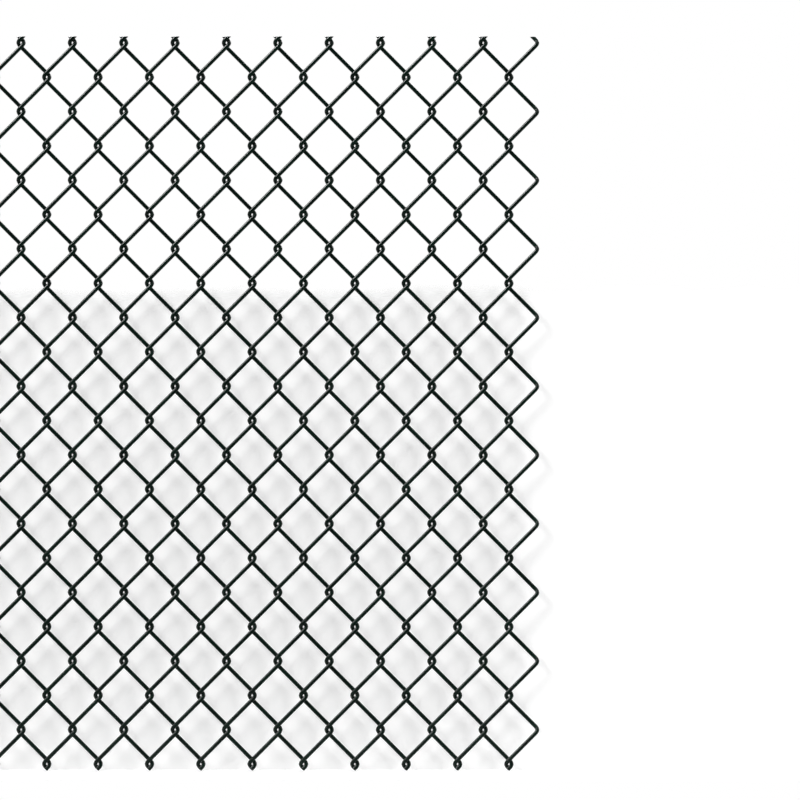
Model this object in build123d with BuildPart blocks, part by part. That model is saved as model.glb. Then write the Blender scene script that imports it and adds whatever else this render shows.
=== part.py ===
"""A stretch of green chain link fence mesh, 0.9 m high, with its wires' ends cut off at the edges.

Zigzag spirals of plastic-coated wire hang side by side and hook through each other at every
bend. +X runs along the fence to the right, +Y to the back and +Z up. The origin is the foot of
the left edge: the line of free bends where the first wire is tied or barred to its post.
All sizes are in millimetres.
"""

import os
from math import hypot, pi, sqrt

from build123d import *

# The wire, over its coat.
wire_diameter = 5
wire_sides = 6

# The mesh: a diamond runs from knot to knot.
spiral_count = 22
diamond_width = 62.94
diamond_height = 84.2
legs_per_spiral = 21

# A knot: two bends hooked through each other, seen from the front as a ring with an open eye.
eye_width = 1.6
bend_rise = 3.8
crossing_clearance = 0.1

# The ends: beyond the highest and the lowest knots the wires cross once more and stop. Those at
# the top are cut off level, this far above the crossing. Those at the bottom are cut square, this
# far along the wire from the crossing.
top_cut_rise = 2.3
bottom_end_length = 1.4

# The flat-sided wire has the area of the round one, which sets its width over the corners.
wire_corner_radius = wire_diameter / 2 * sqrt(2 * pi / (3 * sqrt(3)))
wire_corner_width = 2 * wire_corner_radius

column_spacing = diamond_width / 2
leg_height = diamond_height / 2

# In a knot each bend stands this far out to its side, and turns from the front layer of legs
# to the back layer while it rises.
bend_reach = (wire_diameter + eye_width) / 2
layer = (wire_corner_width + crossing_clearance) / 2
half_rise = bend_rise / 2

# A leg runs from a bend on one side to the next bend on the other, at this slope.
leg_run = column_spacing + 2 * bend_reach
leg_rise = leg_height - bend_rise
leg_length = hypot(leg_run, leg_rise)
run_share = leg_run / leg_length
rise_share = leg_rise / leg_length

# Legs of neighbours cross above and below each knot. The lowest crossing and the square ends
# under it set the height of the lowest knots.
crossing_rise = half_rise + bend_reach * leg_rise / leg_run
bottom_end_drop = bottom_end_length * rise_share + wire_corner_radius * run_share
bottom_knot_height = crossing_rise + bottom_end_drop
top_knot_height = bottom_knot_height + legs_per_spiral * leg_height
top_cut_height = top_knot_height + crossing_rise + top_cut_rise

# Every spiral is made standing in the middle between its two columns of knots, with its lowest
# knot on the right and its highest on the left. Turned half round about the upright it is the
# next spiral, with its lowest knot on the left.
left_column = -column_spacing / 2
right_column = column_spacing / 2

bottom_end = (
    right_column - bottom_end_length * run_share,
    -layer,
    bottom_knot_height - crossing_rise - bottom_end_length * rise_share,
)

# Up the spiral the bends lie right and left in turn. A leg that rises to the right lies in the
# front layer and a leg that rises to the left in the back layer.
bends = []
for knot in range(legs_per_spiral + 1):
    knot_height = bottom_knot_height + knot * leg_height
    side = -1 if knot % 2 else 1
    bend_x = side * (column_spacing / 2 + bend_reach)
    bends.append((bend_x, -side * layer, knot_height - half_rise))
    bends.append((bend_x, side * layer, knot_height + half_rise))

# The top end is made a wire's width too long, and then cut off level.
top_end_length = (top_cut_rise + wire_diameter) / rise_share
top_end = (
    left_column + top_end_length * run_share,
    -layer,
    top_knot_height + crossing_rise + top_end_length * rise_share,
)

with BuildPart() as spiral:
    with BuildLine() as centre_line:
        Polyline(bottom_end, *bends, top_end)
    with BuildSketch(
        Plane(origin=bottom_end, x_dir=(leg_rise, 0, -leg_run), z_dir=centre_line.line % 0)
    ):
        RegularPolygon(wire_corner_radius, wire_sides)
    sweep(transition=Transition.RIGHT)
    split(bisect_by=Plane.XY.offset(top_cut_height), keep=Keep.BOTTOM)

os.makedirs("parts", exist_ok=True)

for number in range(1, spiral_count + 1):
    # Each column of knots belongs to two spirals, so neighbours stand one column apart.
    middle = (number - 0.5) * column_spacing
    turn = 0 if number % 2 else 180
    with BuildPart() as spiral_wire:
        with Locations(Location((middle, 0, 0), (0, 0, turn))):
            add(spiral.part)
    spiral_wire.part.label = f"spiral_wire_{number:02d}"
    export_step(spiral_wire.part, f"parts/{spiral_wire.part.label}.step")
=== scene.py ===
"""Green chain link fence mesh: the looks of its coated spiral wires, in a white studio.

The wires hang side by side along +X and hook through each other at every bend. The front of the
mesh faces -Y. Metres throughout, in the model's own frame.
"""

import math

import bmesh
import bpy
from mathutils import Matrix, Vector


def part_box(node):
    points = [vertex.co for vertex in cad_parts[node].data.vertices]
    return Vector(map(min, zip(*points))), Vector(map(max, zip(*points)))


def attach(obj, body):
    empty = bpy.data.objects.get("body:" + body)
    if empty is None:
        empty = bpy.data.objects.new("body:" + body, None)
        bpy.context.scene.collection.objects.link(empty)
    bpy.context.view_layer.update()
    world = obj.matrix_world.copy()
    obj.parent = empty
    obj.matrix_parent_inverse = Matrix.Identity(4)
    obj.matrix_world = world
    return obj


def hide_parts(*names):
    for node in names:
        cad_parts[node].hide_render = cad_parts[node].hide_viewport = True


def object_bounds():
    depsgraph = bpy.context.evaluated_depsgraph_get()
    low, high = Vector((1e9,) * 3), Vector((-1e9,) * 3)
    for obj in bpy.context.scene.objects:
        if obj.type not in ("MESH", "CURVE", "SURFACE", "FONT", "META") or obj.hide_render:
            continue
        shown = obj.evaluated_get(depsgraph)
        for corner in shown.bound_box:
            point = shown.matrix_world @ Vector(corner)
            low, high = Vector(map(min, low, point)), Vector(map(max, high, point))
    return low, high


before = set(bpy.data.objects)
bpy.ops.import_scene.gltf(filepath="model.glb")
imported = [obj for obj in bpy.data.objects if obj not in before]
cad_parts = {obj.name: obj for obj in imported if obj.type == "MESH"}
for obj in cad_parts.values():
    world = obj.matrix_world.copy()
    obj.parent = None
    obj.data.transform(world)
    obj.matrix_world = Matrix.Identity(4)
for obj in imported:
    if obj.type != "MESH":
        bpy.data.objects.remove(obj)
model_low, model_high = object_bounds()


# The camera. A long lens far in front sees the mesh square on and almost without perspective.
# The picture begins inside the first spiral, and each of its pixels is this wide at the mesh.
pixel = 0.0012258
picture_pixels = 800
first_column_pixel = -30.25
mesh_foot_pixel = 770.75
camera_distance = 6.0
picture_middle = Vector(
    (
        (picture_pixels / 2 - first_column_pixel) * pixel,
        0,
        (mesh_foot_pixel - picture_pixels / 2) * pixel,
    )
)

bpy.ops.object.camera_add(
    location=picture_middle + Vector((0, -camera_distance, 0)), rotation=(math.pi / 2, 0, 0)
)
camera = bpy.context.object
camera.name = "camera"
camera.data.sensor_width = 36
camera.data.lens = camera.data.sensor_width * camera_distance / (picture_pixels * pixel)
bpy.context.scene.camera = camera


# A spiral wire: soft steel wire in a plastic coat, wound flat into a zigzag and hooked into its
# neighbour as it is wound. It is drawn along its centre line from the lower end up, rounded at
# the bends and given its thickness.
wire_radius = 0.0050 / 2
wire_sides = 16
half_clearance = 0.00005
column_spacing = 0.06294 / 2
leg_height = 0.0842 / 2
legs_per_spiral = 21
bend_reach = 0.0033
half_rise = 0.0019
top_cut_rise = 0.0023
bottom_end_length = 0.0014
bend_rounding_share = 0.97
bend_segments = 8

spiral_names = sorted(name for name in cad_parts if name.startswith("spiral_wire"))
top_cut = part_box(spiral_names[0])[1][2]

# Legs that rise to the right lie in the front layer, the others behind them.
layer = wire_radius + half_clearance
leg_run = column_spacing + 2 * bend_reach
leg_rise = leg_height - 2 * half_rise
leg_way = Vector((leg_run, 0, leg_rise)).normalized()
crossing_rise = half_rise + bend_reach * leg_rise / leg_run
top_knot = top_cut - top_cut_rise - crossing_rise
bottom_knot = top_knot - legs_per_spiral * leg_height

# The wire begins just below the lowest crossing. Its upper end is left too long for now.
bottom_crossing = Vector((column_spacing, -layer, bottom_knot - crossing_rise))
top_crossing = Vector((0, -layer, top_knot + crossing_rise))
spare_length = 4 * wire_radius
centre_line = [bottom_crossing - bottom_end_length * leg_way]
for knot in range(legs_per_spiral + 1):
    knot_height = bottom_knot + knot * leg_height
    side = -1 if knot % 2 else 1
    bend_x = column_spacing / 2 + side * (column_spacing / 2 + bend_reach)
    centre_line.append(Vector((bend_x, -side * layer, knot_height - half_rise)))
    centre_line.append(Vector((bend_x, side * layer, knot_height + half_rise)))
centre_line.append(top_crossing + spare_length * leg_way)

bpy.ops.object.select_all(action="DESELECT")
bpy.ops.mesh.primitive_plane_add(size=wire_radius, location=(0, 0, 0))
first_wire = bpy.context.object
first_wire.name = "coated_wire_01"
bpy.ops.object.mode_set(mode="EDIT")
bpy.ops.mesh.merge(type="CENTER")
bpy.ops.transform.translate(value=centre_line[0])
for corner, next_corner in zip(centre_line, centre_line[1:]):
    bpy.ops.mesh.extrude_vertices_move(TRANSFORM_OT_translate={"value": next_corner - corner})

# The two corners of each bend are rounded until little straight wire is left between them.
bpy.ops.mesh.select_all(action="SELECT")
bend_rounding = bend_rounding_share * math.hypot(layer, half_rise)
bpy.ops.mesh.bevel(
    offset=bend_rounding, segments=bend_segments, affect="VERTICES", clamp_overlap=False
)
bpy.ops.object.mode_set(mode="OBJECT")

bpy.ops.object.convert(target="CURVE")
first_wire.data.bevel_depth = wire_radius
first_wire.data.bevel_resolution = wire_sides // 2 - 2
bpy.ops.object.convert(target="MESH")


# The coat: dark green plastic, drawn on through a die that leaves faint lines along the wire. It
# has a satin gloss, and is scuffed paler and duller where neighbours bear on each other.
die_line_height = 0.000045
die_line_drift = 6
scuff_full_distance = 0.0022
scuff_end_distance = 0.0042
scuff_depth = 0.000012
scuff_dulling = 0.25

coat = bpy.data.materials.new("dark_green_plastic_coat")
coat.use_nodes = True
coat_nodes = coat.node_tree.nodes
coat_links = coat.node_tree.links
coat_shader = coat_nodes["Principled BSDF"]
coat_shader.inputs["IOR"].default_value = 1.5
coat_shader.inputs["Specular IOR Level"].default_value = 0.16


def add_node(owner, kind, values, sources):
    """Puts a node into a material or the world, with values and sources for its sockets."""
    node = owner.node_tree.nodes.new(kind)
    for socket, value in values.items():
        node.inputs[socket].default_value = value
    for socket, source in sources.items():
        owner.node_tree.links.new(source, node.inputs[socket])
    return node


def maths(owner, operation, *terms):
    """Works on numbers and sockets in a material or the world, and gives the result's socket."""
    node = owner.node_tree.nodes.new("ShaderNodeMath")
    node.operation = operation
    for socket, term in zip(node.inputs, terms):
        if isinstance(term, bpy.types.NodeSocket):
            owner.node_tree.links.new(term, socket)
        else:
            socket.default_value = term
    return node.outputs[0]


def tone_between(owner, source, stops):
    """A colour that runs between two stops, each a place on the source's scale and a colour."""
    ramp = owner.node_tree.nodes.new("ShaderNodeValToRGB")
    for element, (at, colour) in zip(ramp.color_ramp.elements, stops):
        element.position = at
        element.color = (*colour, 1)
    owner.node_tree.links.new(source, ramp.inputs["Fac"])
    return ramp.outputs["Color"]


place = coat_nodes.new("ShaderNodeTexCoord")
xyz = add_node(coat, "ShaderNodeSeparateXYZ", {}, {"Vector": place.outputs["Object"]})

# How far a spot is from the nearest place where two wires bear on each other. The knots form a
# lattice that folds up into half a diamond, with one knot at its foot and one across from it.
across = maths(coat, "PINGPONG", maths(coat, "DIVIDE", xyz.outputs["X"], column_spacing), 1)
legs_up = maths(coat, "DIVIDE", maths(coat, "SUBTRACT", xyz.outputs["Z"], bottom_knot), leg_height)
up = maths(coat, "PINGPONG", maths(coat, "ADD", legs_up, 1), 1)
from_across = maths(coat, "SUBTRACT", 1, across)
from_up = maths(coat, "SUBTRACT", 1, up)
bearing_distances = []
for fold_x, fold_z in ((across, up), (from_across, from_up)):
    folded = coat_nodes.new("ShaderNodeCombineXYZ")
    coat_links.new(maths(coat, "MULTIPLY", fold_x, column_spacing), folded.inputs["X"])
    coat_links.new(xyz.outputs["Y"], folded.inputs["Y"])
    coat_links.new(maths(coat, "MULTIPLY", fold_z, leg_height), folded.inputs["Z"])
    apart = coat_nodes.new("ShaderNodeVectorMath")
    apart.operation = "DISTANCE"
    apart.inputs[1].default_value = (0, 0, crossing_rise)
    coat_links.new(folded.outputs["Vector"], apart.inputs[0])
    bearing_distances.append(apart.outputs["Value"])
from_bearing = maths(coat, "MINIMUM", *bearing_distances)

# The scuffs are broken up into spots, and end a little way from where the wires bear.
scuff_noise = add_node(
    coat, "ShaderNodeTexNoise", {"Scale": 900, "Detail": 3}, {"Vector": place.outputs["Object"]}
)
scuff_reach = add_node(
    coat,
    "ShaderNodeMapRange",
    {"From Min": scuff_end_distance, "From Max": scuff_full_distance},
    {"Value": from_bearing},
)
scuff_spots = add_node(
    coat,
    "ShaderNodeMapRange",
    {"From Min": 0.42, "From Max": 0.58},
    {"Value": scuff_noise.outputs["Fac"]},
)
scuff = maths(coat, "MULTIPLY", scuff_reach.outputs["Result"], scuff_spots.outputs["Result"])

# The die lines run along the wire: noise on a circle round it, which has no seam.
round_wire = add_node(coat, "ShaderNodeSeparateXYZ", {}, {"Vector": place.outputs["UV"]})
turn = maths(coat, "MULTIPLY", round_wire.outputs["Y"], 2 * math.pi)
circle = coat_nodes.new("ShaderNodeCombineXYZ")
coat_links.new(maths(coat, "COSINE", turn), circle.inputs["X"])
coat_links.new(maths(coat, "SINE", turn), circle.inputs["Y"])
coat_links.new(maths(coat, "MULTIPLY", xyz.outputs["Z"], die_line_drift), circle.inputs["Z"])
die_lines = add_node(
    coat,
    "ShaderNodeTexNoise",
    {"Scale": 7, "Detail": 5, "Roughness": 0.7},
    {"Vector": circle.outputs["Vector"]},
)

# The green varies a little from stretch to stretch, and pales in the scuffs.
stretch_noise = add_node(
    coat, "ShaderNodeTexNoise", {"Scale": 45, "Detail": 4}, {"Vector": place.outputs["Object"]}
)
tone = tone_between(
    coat,
    stretch_noise.outputs["Fac"],
    ((0.3, (0.0005, 0.0038, 0.0023)), (0.7, (0.0016, 0.0112, 0.0067))),
)
paled = coat_nodes.new("ShaderNodeMix")
paled.data_type = "RGBA"
paled.inputs["B"].default_value = (0.0080, 0.0240, 0.0160, 1)
coat_links.new(scuff, paled.inputs["Factor"])
coat_links.new(tone, paled.inputs["A"])
coat_links.new(paled.outputs["Result"], coat_shader.inputs["Base Color"])

# The gloss varies too, and the scuffs dull it.
gloss_noise = add_node(
    coat, "ShaderNodeTexNoise", {"Scale": 220, "Detail": 3}, {"Vector": place.outputs["Object"]}
)
gloss = add_node(
    coat, "ShaderNodeMapRange", {"To Min": 0.22, "To Max": 0.36}, {"Value": gloss_noise.outputs["Fac"]}
)
dulled = maths(coat, "ADD", gloss.outputs["Result"], maths(coat, "MULTIPLY", scuff, scuff_dulling))
coat_links.new(dulled, coat_shader.inputs["Roughness"])

# The relief of the die lines and of the scuffs is far too fine for the mesh.
relief = maths(
    coat,
    "ADD",
    maths(coat, "MULTIPLY", die_lines.outputs["Fac"], die_line_height),
    maths(coat, "MULTIPLY", scuff, -scuff_depth),
)
bump = add_node(coat, "ShaderNodeBump", {"Distance": 1.0, "Strength": 1.0}, {"Height": relief})
coat_links.new(bump.outputs["Normal"], coat_shader.inputs["Normal"])

first_wire.data.materials.append(coat)


# The ends: the lower one is cut square across the wire, the upper one level with the mesh's edge.
# Both show the core of zinc-coated steel with the marks of the shears. It stands a little proud
# of the coat, which the shears draw back.
core_radius = 0.0037 / 2
core_stand_out = 0.00015
core_edge_width = 0.00008
weld_distance = 0.00001
rounded_below = math.radians(35)

core = bpy.data.materials.new("galvanised_steel_core")
core.use_nodes = True
core_links = core.node_tree.links
core_shader = core.node_tree.nodes["Principled BSDF"]
core_shader.inputs["Metallic"].default_value = 1
core_place = core.node_tree.nodes.new("ShaderNodeTexCoord")
shear_marks = add_node(
    core,
    "ShaderNodeTexWave",
    {"Scale": 700, "Distortion": 3, "Detail": 4, "Detail Scale": 3},
    {"Vector": core_place.outputs["Object"]},
)
core_tone = tone_between(
    core, shear_marks.outputs["Color"], ((0, (0.36, 0.37, 0.38)), (1, (0.41, 0.42, 0.44)))
)
core_links.new(core_tone, core_shader.inputs["Base Color"])
core_gloss = add_node(
    core, "ShaderNodeMapRange", {"To Min": 0.40, "To Max": 0.52}, {"Value": shear_marks.outputs["Fac"]}
)
core_links.new(core_gloss.outputs["Result"], core_shader.inputs["Roughness"])
first_wire.data.materials.append(core)

bpy.ops.object.mode_set(mode="EDIT")
bpy.ops.mesh.select_all(action="SELECT")
bpy.ops.mesh.remove_doubles(threshold=weld_distance)
bpy.ops.mesh.bisect(plane_co=(0, 0, top_cut), plane_no=(0, 0, 1), clear_outer=True)
bpy.ops.mesh.select_all(action="SELECT")
bpy.ops.mesh.fill_holes(sides=0)
bpy.ops.mesh.select_all(action="SELECT")
bpy.ops.mesh.normals_make_consistent(inside=False)

# Only the cut faces have more than four corners.
bpy.ops.mesh.select_mode(type="FACE")
bpy.ops.mesh.select_all(action="DESELECT")
wire_mesh = bmesh.from_edit_mesh(first_wire.data)
for face in wire_mesh.faces:
    face.select = len(face.verts) > 4
wire_mesh.select_flush(True)
bmesh.update_edit_mesh(first_wire.data)
bpy.ops.mesh.inset(thickness=wire_radius - core_radius, depth=0)
first_wire.active_material_index = 1
bpy.ops.object.material_slot_assign()
bpy.ops.mesh.inset(thickness=core_edge_width, depth=core_stand_out)
bpy.ops.object.mode_set(mode="OBJECT")
bpy.ops.object.shade_smooth_by_angle(angle=rounded_below)


# The other spirals: the same coated wire again, each one column further along. Every second one
# is turned half round about the upright, so that its bends hook through those of its neighbours.
wires = [first_wire]
for number in range(2, len(spiral_names) + 1):
    bpy.ops.object.select_all(action="DESELECT")
    first_wire.select_set(True)
    bpy.context.view_layer.objects.active = first_wire
    bpy.ops.object.duplicate()
    wire = bpy.context.object
    wire.name = f"coated_wire_{number:02d}"
    if number % 2 == 0:
        wire.rotation_euler.z = math.pi
        wire.location.x = column_spacing
    wire.location.x += (number - 1) * column_spacing
    bpy.ops.object.transform_apply(location=True, rotation=True, scale=True)
    wires.append(wire)

for name, wire in zip(spiral_names, wires):
    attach(wire, "root")
    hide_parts(name)


# The floor that the mesh stands on, and a low upright board close behind it that takes its soft
# shadow. Both are matt white paper. The board can't be seen from behind and lets the lamps through.
floor_width = 4
floor_depth = 3
floor_middle_y = 1.35
floor_glow = 0.34
floor_fade_middle_y = 0.4
floor_fade_start = 0.9
floor_fade_end = 1.4
board_gap = 0.020
board_width = 1.6
board_height = 0.605
board_glow = 0.26
board_fade = 0.014
board_edge_ripple = 0.026
model_middle = (model_low + model_high) / 2


def flat_sheet(name, middle, width, height, tilt):
    """A flat sheet of this size about its middle, lying down unless it has a tilt."""
    bpy.ops.object.select_all(action="DESELECT")
    bpy.ops.mesh.primitive_plane_add(size=1, location=middle, rotation=(tilt, 0, 0))
    sheet = bpy.context.object
    sheet.name = name
    sheet.scale = (width, height, 1)
    bpy.ops.object.transform_apply(location=True, rotation=True, scale=True)
    return sheet


floor = flat_sheet("floor", (model_middle.x, floor_middle_y, 0), floor_width, floor_depth, 0)
board = flat_sheet(
    "board", (picture_middle.x, board_gap, board_height / 2), board_width, board_height, math.pi / 2
)


def seen_rays(owner):
    """1 for what is seen straight on, in a reflection or through a clear piece, otherwise 0."""
    rays = owner.node_tree.nodes.new("ShaderNodeLightPath")
    seen = maths(owner, "MAXIMUM", rays.outputs["Is Camera Ray"], rays.outputs["Is Glossy Ray"])
    return maths(owner, "MAXIMUM", seen, rays.outputs["Is Transmission Ray"])


def white_paper(name, glow):
    """Matt white paper that glows a little wherever it is seen, to come out plain white."""
    paper = bpy.data.materials.new(name)
    paper.use_nodes = True
    paper.node_tree.nodes.clear()
    lit = maths(paper, "MULTIPLY", seen_rays(paper), glow)
    shine = add_node(paper, "ShaderNodeEmission", {}, {"Strength": lit})
    matt = add_node(paper, "ShaderNodeBsdfDiffuse", {"Color": (0.8, 0.8, 0.8, 1)}, {})
    both = add_node(
        paper, "ShaderNodeAddShader", {}, {0: matt.outputs["BSDF"], 1: shine.outputs["Emission"]}
    )
    out = paper.node_tree.nodes.new("ShaderNodeOutputMaterial")
    paper.node_tree.links.new(both.outputs["Shader"], out.inputs["Surface"])
    return paper, both, out


def fade_out(paper, look, out, clearness):
    """Makes a paper see-through wherever its clearness is 1."""
    clear = paper.node_tree.nodes.new("ShaderNodeBsdfTransparent")
    pick = add_node(
        paper,
        "ShaderNodeMixShader",
        {},
        {0: clearness, 1: look.outputs["Shader"], 2: clear.outputs["BSDF"]},
    )
    paper.node_tree.links.new(pick.outputs["Shader"], out.inputs["Surface"])


# The floor's paper fades out all round, well clear of the mesh.
floor_paper, floor_look, floor_out = white_paper("white_floor", floor_glow)
floor.data.materials.append(floor_paper)
floor_place = floor_paper.node_tree.nodes.new("ShaderNodeTexCoord")
floor_from_middle = floor_paper.node_tree.nodes.new("ShaderNodeVectorMath")
floor_from_middle.operation = "DISTANCE"
floor_from_middle.inputs[1].default_value = (model_middle.x, floor_fade_middle_y, 0)
floor_paper.node_tree.links.new(floor_place.outputs["Object"], floor_from_middle.inputs[0])
floor_faded = add_node(
    floor_paper,
    "ShaderNodeMapRange",
    {"From Min": floor_fade_start, "From Max": floor_fade_end},
    {"Value": floor_from_middle.outputs["Value"]},
)
fade_out(floor_paper, floor_look, floor_out, floor_faded.outputs["Result"])

# The board's paper fades out unevenly along its top, and is clear to lamps and from behind.
board_paper, board_look, board_out = white_paper("white_board", board_glow)
board.data.materials.append(board_paper)
board_place = board_paper.node_tree.nodes.new("ShaderNodeTexCoord")
board_xyz = add_node(
    board_paper, "ShaderNodeSeparateXYZ", {}, {"Vector": board_place.outputs["Object"]}
)
board_noise = add_node(
    board_paper,
    "ShaderNodeTexNoise",
    {"Scale": 14, "Detail": 2},
    {"Vector": board_place.outputs["Object"]},
)
board_ripple = maths(board_paper, "MULTIPLY", board_noise.outputs["Fac"], board_edge_ripple)
rippled_height = maths(board_paper, "ADD", board_xyz.outputs["Z"], board_ripple)
board_faded = add_node(
    board_paper,
    "ShaderNodeMapRange",
    {"From Min": board_height - board_fade, "From Max": board_height},
    {"Value": rippled_height},
)
board_side = board_paper.node_tree.nodes.new("ShaderNodeNewGeometry")
board_rays = board_paper.node_tree.nodes.new("ShaderNodeLightPath")
hidden = maths(
    board_paper, "MAXIMUM", board_side.outputs["Backfacing"], board_rays.outputs["Is Shadow Ray"]
)
board_clear = maths(board_paper, "MAXIMUM", hidden, board_faded.outputs["Result"])
fade_out(board_paper, board_look, board_out, board_clear)


# The card: matt black board that stands upright in front of the mesh, as wide as the studio. It
# shows in reflections only, where it keeps the glossy wires from mirroring the white room, and it
# is out of the way of the camera and the lamps.
card_distance = 3.2
card_width = 14
card_height = 10
card_middle_z = 1.5
card = flat_sheet(
    "black_card",
    (picture_middle.x, -card_distance, card_middle_z),
    card_width,
    card_height,
    math.pi / 2,
)
card.visible_camera = False
card.visible_diffuse = False
card.visible_shadow = False
card.visible_transmission = False
black = bpy.data.materials.new("black_card")
black.use_nodes = True
black_shader = black.node_tree.nodes["Principled BSDF"]
black_shader.inputs["Base Color"].default_value = (0.01, 0.01, 0.01, 1)
black_shader.inputs["Roughness"].default_value = 1
card.data.materials.append(black)


# Plain studio light: a soft lamp high on the left in front and a slightly weaker one low on the
# right, whose shadows cross on the board. One lamp stands behind, and one far up on the left only
# makes the glints along the wires. The white room fills in from every side.
room_fill = 0.45
world = bpy.data.worlds.new("studio")
bpy.context.scene.world = world
world.use_nodes = True
room = world.node_tree.nodes["Background"]
room.inputs["Color"].default_value = (1, 1, 1, 1)
room_level = add_node(
    world, "ShaderNodeMapRange", {"To Min": room_fill, "To Max": 1.0}, {"Value": seen_rays(world)}
)
world.node_tree.links.new(room_level.outputs["Result"], room.inputs["Strength"])

for name, offset, size, power, lights_up, glints in (
    ("key_lamp", Vector((-1.9, -2.7, 1.9)), 1.4, 66, True, False),
    ("side_lamp", Vector((2.6, -2.2, 0.9)), 1.3, 50, True, False),
    ("back_lamp", Vector((1.4, 2.8, 1.8)), 1.4, 40, True, True),
    ("glint_lamp", Vector((-4.2, -0.9, 5.0)), 2.4, 1200, False, True),
):
    bpy.ops.object.light_add(type="AREA", location=model_middle + offset)
    lamp = bpy.context.object
    lamp.name = name
    lamp.data.size = size
    lamp.data.energy = power
    lamp.visible_diffuse = lights_up
    lamp.visible_glossy = glints
    lamp.rotation_euler = (-offset).to_track_quat("-Z", "Y").to_euler()

bpy.context.scene.view_settings.view_transform = "Standard"
